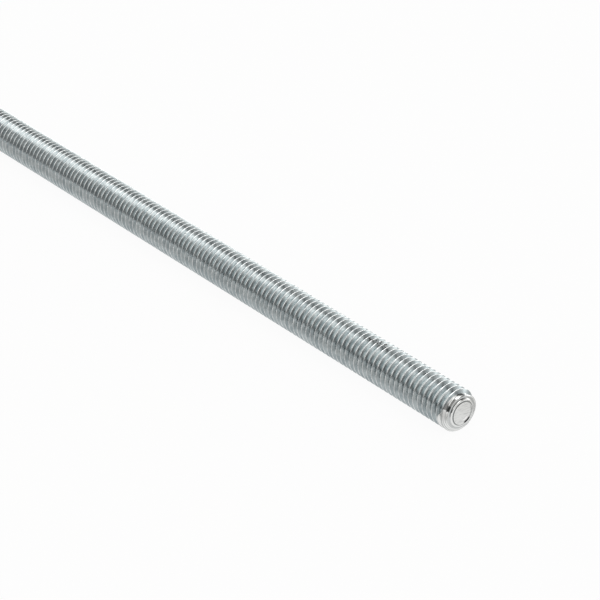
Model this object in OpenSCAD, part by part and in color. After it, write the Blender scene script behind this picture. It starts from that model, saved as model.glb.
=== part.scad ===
// Metric threaded rod, threaded over its whole length, with a turned chamfer at each end.
// The solid is the rod's envelope: its cylinder runs over the crests of the thread, and each
// chamfer comes in past the thread's root to a small flat face.
// The rod lies along X, and the origin is on its axis, midway between the two end faces.

/* [Rod] */
// Thread's outer diameter, over the crests
thread_d = 8; // [6:0.5:24]
// Length over both end faces
rod_l = 250; // [50:5:3000]

/* [Ends] */
// Diameter of the flat face that each chamfer leaves
face_d = 4.5; // [2:0.1:5.5]
// Length of each chamfer, measured along the rod
chamfer_l = 0.9; // [0.5:0.1:4]

/* [Hidden] */

thread_r = thread_d / 2;
face_r = face_d / 2;
half_l = rod_l / 2;
zinc = [0.76, 0.79, 0.80];
$fn = 96;

// Half of the rod's lengthwise section: distance from the axis, distance along the rod
rod_section = [
    [0, -half_l],
    [face_r, -half_l],
    [thread_r, -half_l + chamfer_l],
    [thread_r, half_l - chamfer_l],
    [face_r, half_l],
    [0, half_l],
];

// The whole rod, turned from one bar and laid along X
module threaded_rod()
{
    color(zinc)
        rotate([0, 90, 0])
            rotate_extrude()
                polygon(rod_section);
}

threaded_rod();
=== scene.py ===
# Bright zinc plated threaded rod, lying on a pale floor and seen from above its near end
import math

import bmesh
import bpy
from mathutils import Matrix, Vector


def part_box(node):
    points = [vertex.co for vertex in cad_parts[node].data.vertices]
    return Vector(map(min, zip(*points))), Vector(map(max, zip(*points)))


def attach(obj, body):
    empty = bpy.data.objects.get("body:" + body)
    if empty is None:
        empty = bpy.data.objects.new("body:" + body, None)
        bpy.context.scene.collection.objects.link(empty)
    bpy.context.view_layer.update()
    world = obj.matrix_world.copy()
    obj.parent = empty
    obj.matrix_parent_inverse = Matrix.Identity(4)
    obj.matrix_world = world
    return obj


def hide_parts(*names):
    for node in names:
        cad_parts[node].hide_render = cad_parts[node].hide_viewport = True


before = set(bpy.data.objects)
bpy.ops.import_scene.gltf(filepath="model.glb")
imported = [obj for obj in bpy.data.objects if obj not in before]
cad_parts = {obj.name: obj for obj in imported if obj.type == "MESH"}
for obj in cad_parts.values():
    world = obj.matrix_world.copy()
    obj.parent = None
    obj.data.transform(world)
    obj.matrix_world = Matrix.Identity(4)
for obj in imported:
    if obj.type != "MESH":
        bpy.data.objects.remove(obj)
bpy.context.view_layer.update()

# Rod, in metres
MM = 0.001
LOW, HIGH = (Vector(corner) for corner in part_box("threaded_rod"))
HALF_LENGTH = HIGH.x
THREAD_R = min(HIGH.y, HIGH.z)
PITCH = 1.25 * MM

# Thread form, as shares of the pitch: half of a tooth, from its crest to the root
CREST_HALF = 0.035
CREST_BLEND = 0.09
CREST_DROP = 0.016
FLANK_ANGLE = math.radians(60)
FLANK_SLOPE = math.tan(FLANK_ANGLE)
CREST_SHARP = 0.0625
ROOT_R = 0.144
SEGMENTS = 38
EXTRA_TURNS = 3

# Last crest at the shown end: where it passes the side that faces the camera, and its run-out
NEAR_ANGLE = 138.8 / 360
LAST_CREST_X = HALF_LENGTH - 1.54 * MM
FADE_START = 0.45
FADE_TURNS = 0.45

# End of the rod: flat face, chamfer, and the turning ridges on it next to the face
FACE_R = 2.22 * MM
FACE_EDGE = 0.03 * MM
CHAMFER_L = 0.9 * MM
RIDGE_ZONE = 0.55 * MM
RIDGE_FIRST = 0.06 * MM
RIDGE_SPACING = 0.28 * MM
RIDGE_DEPTH = 0.12 * MM
RIDGE_STEPS = 24
CUTTER_R = 1.5 * THREAD_R
CUTTER_STEPS = 96

# Shading: edges sharper than these stay sharp, and large faces set the normals
SHARP_ANGLE = math.radians(42)
FACE_SHARP_ANGLE = math.radians(15)
NORMAL_WEIGHT = 70

# Zinc on the thread. Scales are per metre; edges are where a mask of a noise starts and is full
GROOVE_COLOUR = (0.345, 0.395, 0.41, 1)
GROOVE_PALE = (0.475, 0.525, 0.535, 1)
ROOT_COLOUR = (0.49, 0.525, 0.53, 1)
CREST_COLOUR = (0.80, 0.825, 0.83, 1)
SCUFF_COLOUR = (0.09, 0.09, 0.09, 1)
ROUGH_LOW = 0.16
ROUGH_HIGH = 0.24
ROOT_BAND = 0.09 * MM
CREST_BAND = 0.085 * MM
WORN_LEAST = 0.45
BLEND = 0.08 * MM
CLOUD_SCALE = 700
CLOUD_EDGES = (0.35, 0.65)
WORN_SCALE = 1500
WORN_EDGES = (0.36, 0.58)
SCUFF_SCALE = 3200
SCUFF_EDGES = (0.52, 0.6)
GRAIN_SCALE = 2600
GRAIN_EDGES = (0.3, 0.7)
GRAIN_HEIGHT = 0.009 * MM
STREAK_STRETCH = (9000, 250, 250)
STREAK_HEIGHT = 0.002 * MM

# Patch of nicks on the crests: (middle, reach) back from the end face and round the axis
SCUFF_BACK = (23.0 * MM, 4.0 * MM)
SCUFF_ANGLE = (math.radians(86), math.radians(15))

# Turned metal at the ends: it reaches further back on the lower side, and that extra bright band is
# painted light
TURNED_COLOUR = (0.86, 0.87, 0.86, 1)
TURNED_DULL = (0.46, 0.48, 0.48, 1)
# Painted shade: a darker band at the rim, on the upper side only
RIM_SHADE_COLOUR = (0.34, 0.36, 0.36, 1)
# Painted shade in the ridges' valleys and in the dark marks beside them
VALLEY_SHADE_COLOUR = (0.13, 0.14, 0.14, 1)
TURNED_ROUGH = 0.10
TURNED_L = 1.25 * MM
TURNED_PAINTED_LIGHT_BELOW = 1.2 * MM
TURNED_LOWER_Z = -0.3 * THREAD_R
TURNED_UPPER_Z = 0.7 * THREAD_R
RING_SCALE = 3600
RING_EDGES = (0.42, 0.62)
RING_MOST = 0.8
RIM_SHADE_BAND = 0.3 * MM

# Painted shade: the first ridge's valley is dark all round, the second's only near this angle (middle,
# reach)
VALLEY_EDGES = (0.1, 0.9)
FIRST_RIDGE = 0.2 * MM
SECOND_RIDGE_ANGLE = (math.radians(125), math.radians(62))

# Painted shade marks on the turned metal: radius, half width, angle round the axis, reach of the angle
TURNED_SHADE_MARKS = (
    (2.75 * MM, 0.18 * MM, math.radians(152), math.radians(9)),
    (3.2 * MM, 0.22 * MM, math.radians(150), math.radians(12)),
    (3.3 * MM, 0.14 * MM, math.radians(88), math.radians(14)),
)

# Flat face: sawn marks, a faint arc, and a dent in painted shade with a painted highlight on its edge
# (values as for the painted shade marks)
FACE_COLOUR = (0.83, 0.84, 0.83, 1)
FACE_MARK_COLOUR = (0.45, 0.46, 0.46, 1)
DENT_SHADE_COLOUR = (0.02, 0.02, 0.02, 1)
HIGHLIGHT_COLOUR = (1.0, 1.0, 1.0, 1)
FACE_ROUGH = 0.45
SAW_STRETCH = (0, 700, 5200)
SAW_EDGES = (0.45, 0.75)
SAW_MOST = 0.6
FACE_ARC = (1.95 * MM, 0.2 * MM, math.radians(-12), math.radians(48))
DENT_SHADE = (2.0 * MM, 0.34 * MM, math.radians(-60), math.radians(27))
DENT_HIGHLIGHT = (1.4 * MM, 0.24 * MM, math.radians(-60), math.radians(27))

# Floor: how white it is to the camera, and a painted reflection: how white the metal mirrors it close
# to the rod, a little further out, and far from it (where each zone fades, as distances from the axis)
FLOOR_SIZE = 2.0
FLOOR_COLOUR = (0.66, 0.66, 0.66, 1)
FLOOR_GLOW = 0.95
METAL_GLOW_NEAR = 0.72
METAL_GLOW_MIDDLE = 0.0
METAL_GLOW_FAR = 0.85
NEAR_FLOOR = (4 * MM, 9 * MM)
FAR_FLOOR = (22 * MM, 60 * MM)

# Soft lights: azimuth, elevation, angle of full strength, angle where it is gone, strength.
# One whose middle is below the horizon shows only its upper part, as a low glow past the floor
LIGHT_COLOUR = (1.0, 0.985, 0.97, 1)
AMBIENT = 0.25
SOFT_LIGHTS = (
    (13, 78.5, 8, 29, 1.5),
    (15, 49, 11, 20, 1.42),
    (133, -30, 37, 53, 2.35),
    (-64, 46.5, 9.5, 41, 1.4),
    (98, -34.5, 30, 70, 1.9),
    (58, 14, 11, 22, 0.45),
    (13, 20, 14, 27, 0.52),
    (150, 36, 14, 27, 2.45),
)

# Camera: the shown end face's centre has this place in a picture of 600 pixels, and this depth
PICTURE_W = 600
FOCAL_PX = 2504
SENSOR_MM = 36
CAMERA_ELEVATION = math.radians(29.19)
ROD_TURN = math.radians(38.73)
END_PX = Vector((463.0, 413.4))
END_DEPTH = 0.4371


def thread_profile():
    """Points (along the rod, depth) over one pitch, from root to root, in metres."""
    square = math.radians(90)
    tangent = square - FLANK_ANGLE
    half_way = (square + tangent) / 2
    tangent_in = ROOT_R * math.cos(tangent)
    flank_depth = FLANK_SLOPE * (0.5 - CREST_SHARP - tangent_in)
    root_depth = flank_depth + ROOT_R * (1 - math.sin(tangent))
    half = [
        (0.5, root_depth),
        (0.5 - ROOT_R * math.cos(half_way), root_depth - ROOT_R * (1 - math.sin(half_way))),
        (0.5 - tangent_in, flank_depth),
        (CREST_BLEND, FLANK_SLOPE * (CREST_BLEND - CREST_SHARP)),
        ((CREST_BLEND + CREST_HALF) / 2, CREST_DROP),
        (CREST_HALF, 0.0),
    ]
    rising = [(0.5 - offset, depth) for offset, depth in half]
    falling = [(0.5 + offset, depth) for offset, depth in reversed(half)]
    return [(along * PITCH, depth * PITCH) for along, depth in rising + falling]


def mesh_object(name, verts, edges, faces):
    mesh = bpy.data.meshes.new(name)
    mesh.from_pydata(verts, edges, faces)
    mesh.update()
    obj = bpy.data.objects.new(name, mesh)
    bpy.context.collection.objects.link(obj)
    return obj


def profile_object():
    """The thread profile as loose points, which the node tree samples row by row."""
    points = [(along, 0.0, depth) for along, depth in thread_profile()]
    return mesh_object("thread_profile", points, [], [])


def end_section():
    """Points (distance from the end face, radius) from the flat face out over the chamfer."""
    slope = (THREAD_R - FACE_R) / CHAMFER_L
    points = [(0.0, FACE_R - FACE_EDGE), (FACE_EDGE / 2, FACE_R)]
    for step in range(2, RIDGE_STEPS + 1):
        back = RIDGE_ZONE * step / RIDGE_STEPS
        groove = 0.5 + 0.5 * math.cos(2 * math.pi * (back - RIDGE_FIRST) / RIDGE_SPACING)
        points.append((back, FACE_R + slope * back - RIDGE_DEPTH * groove))
    points.append(((CUTTER_R - FACE_R) / slope, CUTTER_R))
    return points


def end_cutter():
    """A turned body that is wider than the rod except where it gives each end its shape."""
    half = [(HALF_LENGTH - back, r) for back, r in end_section()]
    section = half + [(-x, r) for x, r in reversed(half)]
    verts, faces = [], []
    for x, r in section:
        for step in range(CUTTER_STEPS):
            angle = 2 * math.pi * step / CUTTER_STEPS
            verts.append((x, r * math.cos(angle), r * math.sin(angle)))
    for ring in range(len(section) - 1):
        for step in range(CUTTER_STEPS):
            a = ring * CUTTER_STEPS + step
            b = ring * CUTTER_STEPS + (step + 1) % CUTTER_STEPS
            faces.append((a, a + CUTTER_STEPS, b + CUTTER_STEPS, b))
    faces.append(tuple(range(CUTTER_STEPS)))
    last = (len(section) - 1) * CUTTER_STEPS
    faces.append(tuple(reversed(range(last, last + CUTTER_STEPS))))
    return mesh_object("end_cutter", verts, [], faces)


class Graph:
    """A short way to write a node tree."""

    def __init__(self, group):
        self.group = group

    def node(self, kind, settings=None, **values):
        made = self.group.nodes.new(kind)
        for key, value in (settings or {}).items():
            setattr(made, key, value)
        for key, value in values.items():
            self.put(made.inputs[key.replace("_", " ")], value)
        return made

    def put(self, socket, value):
        if isinstance(value, bpy.types.NodeSocket):
            self.group.links.new(value, socket)
        else:
            socket.default_value = value

    def math(self, operation, *values):
        made = self.group.nodes.new("ShaderNodeMath")
        made.operation = operation
        for socket, value in zip(made.inputs, values):
            self.put(socket, value)
        return made.outputs[0]

    def vector(self, operation, *values):
        made = self.group.nodes.new("ShaderNodeVectorMath")
        made.operation = operation
        for socket, value in zip(made.inputs, values):
            self.put(socket, value)
        return made

    def noise(self, place, scale, detail):
        made = self.node("ShaderNodeTexNoise", Vector=place, Scale=scale, Detail=detail)
        return made.outputs["Fac"]

    def near(self, value, middle, reach, full=0.5):
        """1 around a middle value, fading to 0 from a share of the reach to the whole of it."""
        off = self.math("ABSOLUTE", self.math("SUBTRACT", value, middle))
        return self.between(off, reach, reach * full)

    def between(self, value, low, high, to_low=0.0, to_high=1.0, smooth=True):
        made = self.group.nodes.new("ShaderNodeMapRange")
        made.interpolation_type = "SMOOTHSTEP" if smooth else "LINEAR"
        for name, given in (("Value", value), ("From Min", low), ("From Max", high),
                            ("To Min", to_low), ("To Max", to_high)):
            self.put(made.inputs[name], given)
        return made.outputs["Result"]

    def angle(self, axes):
        """The angle round the rod's axis, from +Y towards +Z."""
        return self.math("ARCTAN2", axes.outputs["Z"], axes.outputs["Y"])

    def blend(self, share, first, second):
        made = self.group.nodes.new("ShaderNodeMix")
        made.data_type = "RGBA"
        colour_sockets = [socket for socket in made.inputs if socket.type == "RGBA"]
        self.put(made.inputs[0], share)
        self.put(colour_sockets[0], first)
        self.put(colour_sockets[1], second)
        return next(socket for socket in made.outputs if socket.type == "RGBA")


class Tree(Graph):
    """A geometry node tree with named inputs."""

    def __init__(self, name):
        super().__init__(bpy.data.node_groups.new(name, "GeometryNodeTree"))
        self.sockets = {}

    def add_input(self, name, kind):
        socket = self.group.interface.new_socket(name, in_out="INPUT", socket_type=kind)
        self.sockets[name] = socket.identifier

    def finish_interface(self):
        self.group.interface.new_socket("Geometry", in_out="OUTPUT", socket_type="NodeSocketGeometry")
        self.inputs = self.group.nodes.new("NodeGroupInput")
        self.output = self.group.nodes.new("NodeGroupOutput")

    def given(self, name):
        return self.inputs.outputs[name]


def thread_tree(rows):
    """A helical strip, one profile wide, whose turns share their edges, cut to the rod's ends."""
    tree = Tree("threaded_rod_tree")
    tree.add_input("Radius", "NodeSocketFloat")
    tree.add_input("Pitch", "NodeSocketFloat")
    tree.add_input("Turns", "NodeSocketInt")
    tree.add_input("Segments", "NodeSocketInt")
    tree.add_input("Phase", "NodeSocketFloat")
    tree.add_input("Root Depth", "NodeSocketFloat")
    tree.add_input("Fade Start", "NodeSocketFloat")
    tree.add_input("Fade Turns", "NodeSocketFloat")
    tree.add_input("Profile", "NodeSocketObject")
    tree.add_input("Cutter", "NodeSocketObject")
    tree.add_input("Material", "NodeSocketMaterial")
    tree.finish_interface()
    turns, segments, pitch = tree.given("Turns"), tree.given("Segments"), tree.given("Pitch")

    columns = tree.math("ADD", tree.math("MULTIPLY", turns, segments), 1)
    grid = tree.node("GeometryNodeMeshGrid", Size_X=turns, Size_Y=1.0,
                     Vertices_X=columns, Vertices_Y=rows)
    place = tree.node("ShaderNodeSeparateXYZ", Vector=tree.node("GeometryNodeInputPosition").outputs[0])
    turn = tree.math("ADD", place.outputs["X"], tree.math("MULTIPLY", turns, 0.5))
    row = tree.math("ROUND", tree.math("MULTIPLY", tree.math("ADD", place.outputs["Y"], 0.5), rows - 1))

    profile = tree.node("GeometryNodeObjectInfo", Object=tree.given("Profile"))
    sample = tree.node("GeometryNodeSampleIndex", {"data_type": "FLOAT_VECTOR", "domain": "POINT"},
                       Geometry=profile.outputs["Geometry"], Index=row)
    tree.put(sample.inputs["Value"], tree.node("GeometryNodeInputPosition").outputs[0])
    point = tree.node("ShaderNodeSeparateXYZ", Vector=sample.outputs["Value"])

    middle = tree.math("MULTIPLY", tree.math("MULTIPLY", tree.math("ADD", turns, 1), 0.5), pitch)
    along = tree.math("ADD", tree.math("MULTIPLY", turn, pitch), point.outputs["X"])
    axial = tree.math("SUBTRACT", along, middle)

    # The last crest sinks to the root's level over the end of its last turn
    fade_end = tree.math("ADD", tree.given("Fade Start"), tree.given("Fade Turns"))
    standing = tree.between(turn, tree.given("Fade Start"), fade_end, 1.0, 0.0)
    height = tree.math("SUBTRACT", tree.given("Root Depth"), point.outputs["Z"])
    left = tree.math("MULTIPLY", height, standing)
    depth = tree.math("SUBTRACT", tree.given("Root Depth"), left)
    radius = tree.math("SUBTRACT", tree.given("Radius"), depth)
    angle = tree.math("MULTIPLY", tree.math("ADD", turn, tree.given("Phase")), 2 * math.pi)

    # The first and the last turn are drawn in to the axis, which closes the strip
    edge = 0.001
    in_first = tree.math("LESS_THAN", turn, 1 - edge)
    not_last_row = tree.math("LESS_THAN", row, rows - 1.5)
    in_last = tree.math("GREATER_THAN", turn, tree.math("SUBTRACT", turns, 1 - edge))
    not_first_row = tree.math("GREATER_THAN", row, 0.5)
    closes_start = tree.math("MULTIPLY", in_first, not_last_row)
    closes_end = tree.math("MULTIPLY", in_last, not_first_row)
    open_share = tree.math("SUBTRACT", 1, tree.math("ADD", closes_start, closes_end))
    radius = tree.math("MULTIPLY", radius, open_share)
    end_x = tree.math("SUBTRACT", middle, tree.math("MULTIPLY", pitch, 0.5))
    cap_x = tree.math("MULTIPLY", tree.math("SUBTRACT", closes_end, closes_start), end_x)
    axial = tree.math("ADD", tree.math("MULTIPLY", axial, open_share), cap_x)

    target = tree.node("ShaderNodeCombineXYZ", X=axial,
                       Y=tree.math("MULTIPLY", radius, tree.math("COSINE", angle)),
                       Z=tree.math("MULTIPLY", radius, tree.math("SINE", angle)))
    strip = tree.node("GeometryNodeSetPosition", Geometry=grid.outputs["Mesh"],
                      Position=target.outputs[0])
    joined = tree.node("GeometryNodeMergeByDistance", Geometry=strip.outputs[0], Distance=2e-6)
    cutter = tree.node("GeometryNodeObjectInfo", Object=tree.given("Cutter"))
    cut = tree.node("GeometryNodeMeshBoolean", {"operation": "INTERSECT", "solver": "MANIFOLD"})
    tree.group.links.new(joined.outputs[0], cut.inputs[1])
    tree.group.links.new(cutter.outputs["Geometry"], cut.inputs[1])
    real = tree.node("GeometryNodeRealizeInstances", Geometry=cut.outputs[0])
    finish = tree.node("GeometryNodeSetMaterial", Geometry=real.outputs[0],
                       Material=tree.given("Material"))
    tree.group.links.new(finish.outputs[0], tree.output.inputs[0])
    return tree


def baked(holder):
    """The evaluated object as a plain mesh."""
    depsgraph = bpy.context.evaluated_depsgraph_get()
    mesh = bpy.data.meshes.new_from_object(holder.evaluated_get(depsgraph))
    holder.modifiers.clear()
    holder.data = mesh
    return holder


def mark_sharp(mesh):
    """Smooth faces with sharp edges where the end's cuts meet the thread and the flat face."""
    for polygon in mesh.polygons:
        polygon.use_smooth = True
    work = bmesh.new()
    work.from_mesh(mesh)
    for edge in work.edges:
        if len(edge.link_faces) == 2:
            on_face = all(abs(vert.co.x) > HALF_LENGTH - FACE_EDGE for vert in edge.verts)
            limit = FACE_SHARP_ANGLE if on_face else SHARP_ANGLE
            edge.smooth = edge.calc_face_angle(0.0) < limit
    work.to_mesh(mesh)
    work.free()


def weigh_normals(rod):
    """Each shading normal follows the largest face at its corner, so that the flanks look flat."""
    modifier = rod.modifiers.new("weigh", "WEIGHTED_NORMAL")
    modifier.mode = "FACE_AREA"
    modifier.weight = NORMAL_WEIGHT
    modifier.keep_sharp = True
    baked(rod)


def threaded_rod():
    """The whole rod: the thread swept by the node tree, baked, and shaded."""
    profile = profile_object()
    cutter = end_cutter()
    tree = thread_tree(len(profile.data.vertices))
    rod = mesh_object("rod", [], [], [])
    modifier = rod.modifiers.new("thread", "NODES")
    modifier.node_group = tree.group
    turns = round(2 * HALF_LENGTH / PITCH) + 2 * EXTRA_TURNS
    last_crest = LAST_CREST_X / PITCH + turns / 2
    root_depth = max(depth for _, depth in thread_profile())
    values = {"Radius": THREAD_R, "Pitch": PITCH, "Turns": turns, "Segments": SEGMENTS,
              "Phase": (NEAR_ANGLE - last_crest) % 1, "Root Depth": root_depth,
              "Fade Start": last_crest + FADE_START, "Fade Turns": FADE_TURNS,
              "Profile": profile, "Cutter": cutter, "Material": zinc_material()}
    for name, value in values.items():
        modifier[tree.sockets[name]] = value
    baked(rod)
    for helper in (profile, cutter):
        bpy.data.objects.remove(helper)
    rod.data.name = "rod"
    mark_sharp(rod.data)
    weigh_normals(rod)
    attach(rod, "root")
    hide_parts("threaded_rod")
    return rod


def arc_mask(graph, axes, radius, arc_r, half_width, middle, reach):
    """1 inside a thin arc round the rod's axis, fading at its sides and ends."""
    return graph.math("MULTIPLY", graph.near(radius, arc_r, half_width, 1 / 3),
                      graph.near(graph.angle(axes), middle, reach))


def scuff_mask(graph, axes, place, back):
    """Small dark nicks, on one patch of the crests near the shown end."""
    patch = graph.math("MULTIPLY", graph.near(back, *SCUFF_BACK),
                       graph.near(graph.angle(axes), *SCUFF_ANGLE))
    patch = graph.math("MULTIPLY", patch, graph.math("GREATER_THAN", axes.outputs["X"], 0.0))
    nicks = graph.noise(place, SCUFF_SCALE, 1.0)
    return graph.math("MULTIPLY", patch, graph.between(nicks, *SCUFF_EDGES))


def valley_shade_mask(graph, axes, radius, back):
    """1 where shade is painted: in the valleys between the turning ridges and in the dark marks beside
    them.
    """
    start = graph.math("SUBTRACT", back, RIDGE_FIRST)
    wave = graph.math("COSINE", graph.math("MULTIPLY", start, 2 * math.pi / RIDGE_SPACING))
    second = graph.math("MULTIPLY", graph.near(graph.angle(axes), *SECOND_RIDGE_ANGLE),
                        graph.math("LESS_THAN", back, RIDGE_ZONE))
    shown = graph.math("MAXIMUM", second, graph.math("LESS_THAN", back, FIRST_RIDGE))
    valley = graph.math("MULTIPLY", graph.between(wave, *VALLEY_EDGES), shown)
    for mark in TURNED_SHADE_MARKS:
        valley = graph.math("MAXIMUM", valley, arc_mask(graph, axes, radius, *mark))
    return valley


def thread_colour(graph, axes, place, radius, back):
    """Clouded dull grooves, a paler root, worn bright crests and the patch of nicks."""
    cloud = graph.noise(place, CLOUD_SCALE, 3.0)
    colour = graph.blend(graph.between(cloud, *CLOUD_EDGES), GROOVE_COLOUR, GROOVE_PALE)
    root_r = THREAD_R - max(depth for _, depth in thread_profile())
    root = graph.between(radius, root_r + ROOT_BAND, root_r + ROOT_BAND / 3)
    colour = graph.blend(root, colour, ROOT_COLOUR)
    crest = graph.between(radius, THREAD_R - CREST_BAND, THREAD_R - CREST_BAND / 3)
    worn = graph.between(graph.noise(place, WORN_SCALE, 1.0), *WORN_EDGES, WORN_LEAST, 1.0)
    colour = graph.blend(graph.math("MULTIPLY", crest, worn), colour, CREST_COLOUR)
    return graph.blend(scuff_mask(graph, axes, place, back), colour, SCUFF_COLOUR)


def turned_colour(graph, axes, radius, back, upper):
    """Bright metal with dull rings round the axis, and painted shade: dark valleys, and a dark rim on
    its upper side.
    """
    ring_place = graph.node("ShaderNodeCombineXYZ", X=radius, Y=back).outputs[0]
    rings = graph.between(graph.noise(ring_place, RING_SCALE, 2.0), *RING_EDGES, 0.0, RING_MOST)
    colour = graph.blend(rings, TURNED_COLOUR, TURNED_DULL)
    # Painted shade: the rim is darkened on the upper side only
    rim = graph.between(radius, THREAD_R - RIM_SHADE_BAND, THREAD_R - RIM_SHADE_BAND / 3)
    colour = graph.blend(graph.math("MULTIPLY", rim, upper), colour, RIM_SHADE_COLOUR)
    # Painted shade in the valleys and in the dark marks
    return graph.blend(valley_shade_mask(graph, axes, radius, back), colour, VALLEY_SHADE_COLOUR)


def face_colour(graph, axes, place, radius, flat, colour):
    """The flat face's colour and marks, among them a dent's painted shade and painted highlight, laid
    over the colour given for the rest of the rod.
    """
    sawn = graph.noise(graph.vector("MULTIPLY", place, SAW_STRETCH).outputs[0], 1.0, 3.0)
    marks = (
        (graph.between(sawn, *SAW_EDGES, 0.0, SAW_MOST), FACE_MARK_COLOUR),
        (arc_mask(graph, axes, radius, *FACE_ARC), FACE_MARK_COLOUR),
        # Painted shade of a dent and a painted highlight at its edge; the face itself stays flat
        (arc_mask(graph, axes, radius, *DENT_SHADE), DENT_SHADE_COLOUR),
        (arc_mask(graph, axes, radius, *DENT_HIGHLIGHT), HIGHLIGHT_COLOUR),
    )
    colour = graph.blend(flat, colour, FACE_COLOUR)
    for mask, mark_colour in marks:
        colour = graph.blend(graph.math("MULTIPLY", flat, mask), colour, mark_colour)
    return colour


def zinc_bump(graph, place, grain):
    """Fine grain, and streaks that run round the rod."""
    round_way = graph.vector("MULTIPLY", place, STREAK_STRETCH).outputs[0]
    streak = graph.noise(round_way, 1.0, 3.0)
    height = graph.math("ADD", graph.math("MULTIPLY", grain, GRAIN_HEIGHT),
                        graph.math("MULTIPLY", streak, STREAK_HEIGHT))
    return graph.node("ShaderNodeBump", Strength=1.0, Distance=1.0, Height=height).outputs["Normal"]


def zinc_material():
    """Bright zinc: cool metal, polished on the crests, duller in the grooves, turned at the ends."""
    material = bpy.data.materials.new("bright_zinc")
    material.use_nodes = True
    graph = Graph(material.node_tree)
    shader = material.node_tree.nodes["Principled BSDF"]
    place = graph.node("ShaderNodeTexCoord").outputs["Object"]
    axes = graph.node("ShaderNodeSeparateXYZ", Vector=place)
    across = graph.vector("MULTIPLY", place, (0, 1, 1))
    radius = graph.vector("LENGTH", across.outputs[0]).outputs["Value"]
    back = graph.math("SUBTRACT", HALF_LENGTH, graph.math("ABSOLUTE", axes.outputs["X"]))
    flat = graph.math("LESS_THAN", back, BLEND / 8)
    upper = graph.between(axes.outputs["Z"], TURNED_LOWER_Z, TURNED_UPPER_Z)
    # Painted light: the bright turned colour reaches further back on the lower side
    turned_l = graph.between(upper, 0.0, 1.0, TURNED_L + TURNED_PAINTED_LIGHT_BELOW, TURNED_L)
    turned = graph.between(graph.math("SUBTRACT", back, turned_l), BLEND, 0.0)

    colour = graph.blend(turned, thread_colour(graph, axes, place, radius, back),
                         turned_colour(graph, axes, radius, back, upper))
    colour = face_colour(graph, axes, place, radius, flat, colour)
    graph.put(shader.inputs["Base Color"], colour)
    graph.put(shader.inputs["Metallic"], 1.0)

    grain = graph.noise(place, GRAIN_SCALE, 2.0)
    rough = graph.between(grain, *GRAIN_EDGES, ROUGH_LOW, ROUGH_HIGH)
    rough = graph.between(turned, 0, 1, rough, TURNED_ROUGH, smooth=False)
    rough = graph.between(flat, 0, 1, rough, FACE_ROUGH, smooth=False)
    graph.put(shader.inputs["Roughness"], rough)
    graph.put(shader.inputs["Normal"], zinc_bump(graph, place, grain))
    return material


def floor_glow(graph):
    """The floor's own white: plain to the camera, and in zones beside the rod to the metal, where it is
    a painted reflection.
    """
    light = graph.node("ShaderNodeLightPath")
    by_camera = graph.math("MULTIPLY", light.outputs["Is Camera Ray"], FLOOR_GLOW)
    by_metal = graph.math("MAXIMUM", light.outputs["Is Glossy Ray"],
                          light.outputs["Is Transmission Ray"])
    place = graph.node("ShaderNodeTexCoord").outputs["Object"]
    aside = graph.math("ABSOLUTE", graph.node("ShaderNodeSeparateXYZ", Vector=place).outputs["Y"])
    # Painted reflection: a glow only the metal sees, bright near the rod, none a little further out,
    # bright far away
    painted_reflection = graph.between(aside, *NEAR_FLOOR, METAL_GLOW_NEAR, METAL_GLOW_MIDDLE)
    beyond = graph.between(aside, *FAR_FLOOR, 0.0, METAL_GLOW_FAR)
    painted_reflection = graph.math("ADD", painted_reflection, beyond)
    return graph.math("ADD", by_camera, graph.math("MULTIPLY", by_metal, painted_reflection))


def floor():
    """A pale floor that the rod lies on and that keeps a faint shadow of it."""
    size = FLOOR_SIZE
    z = LOW.z
    corners = [(-size, -size, z), (size, -size, z), (size, size, z), (-size, size, z)]
    plane = mesh_object("floor", corners, [], [(0, 1, 2, 3)])
    material = bpy.data.materials.new("pale_floor")
    material.use_nodes = True
    graph = Graph(material.node_tree)
    shader = material.node_tree.nodes["Principled BSDF"]
    shader.inputs["Base Color"].default_value = FLOOR_COLOUR
    shader.inputs["Roughness"].default_value = 1.0
    shader.inputs["Specular IOR Level"].default_value = 0.0
    white = graph.node("ShaderNodeEmission", Strength=1.0)
    mix = graph.node("ShaderNodeMixShader")
    graph.put(mix.inputs[0], floor_glow(graph))
    graph.put(mix.inputs[1], shader.outputs[0])
    graph.put(mix.inputs[2], white.outputs[0])
    graph.put(material.node_tree.nodes["Material Output"].inputs["Surface"], mix.outputs[0])
    plane.data.materials.append(material)


def camera():
    """Places the rod's near end at its pixel, at its depth, with the horizon level."""
    data = bpy.data.cameras.new("camera")
    data.sensor_width = SENSOR_MM
    data.lens = FOCAL_PX / PICTURE_W * SENSOR_MM
    data.clip_start = 0.01
    data.clip_end = 20
    eye = bpy.data.objects.new("camera", data)
    bpy.context.collection.objects.link(eye)
    sight = Vector((-math.cos(ROD_TURN) * math.cos(CAMERA_ELEVATION),
                    math.sin(ROD_TURN) * math.cos(CAMERA_ELEVATION),
                    -math.sin(CAMERA_ELEVATION)))
    turn = sight.to_track_quat("-Z", "Y").to_matrix()
    centre = PICTURE_W / 2
    ray = Vector((END_PX.x - centre, centre - END_PX.y, -FOCAL_PX)) / FOCAL_PX
    end = Vector((HALF_LENGTH, 0, 0))
    eye.matrix_world = Matrix.Translation(end - turn @ ray * END_DEPTH) @ turn.to_4x4()
    bpy.context.scene.camera = eye


def studio():
    """Dim surroundings with a few large soft lights, each full inside one angle and gone at another."""
    scene = bpy.context.scene
    scene.world = bpy.data.worlds.new("studio")
    scene.world.use_nodes = True
    graph = Graph(scene.world.node_tree)
    direction = graph.node("ShaderNodeTexCoord").outputs["Generated"]
    total = AMBIENT
    for azimuth, elevation, full, gone, strength in SOFT_LIGHTS:
        az, el = math.radians(azimuth), math.radians(elevation)
        centre = (math.cos(el) * math.cos(az), math.cos(el) * math.sin(az), math.sin(el))
        facing = graph.vector("DOT_PRODUCT", direction, centre).outputs["Value"]
        light = graph.between(facing, math.cos(math.radians(gone)), math.cos(math.radians(full)),
                              0.0, strength)
        total = graph.math("ADD", light, total)
    background = scene.world.node_tree.nodes["Background"]
    background.inputs["Color"].default_value = LIGHT_COLOUR
    graph.put(background.inputs["Strength"], total)
    scene.view_settings.view_transform = "Standard"


threaded_rod()
floor()
camera()
studio()
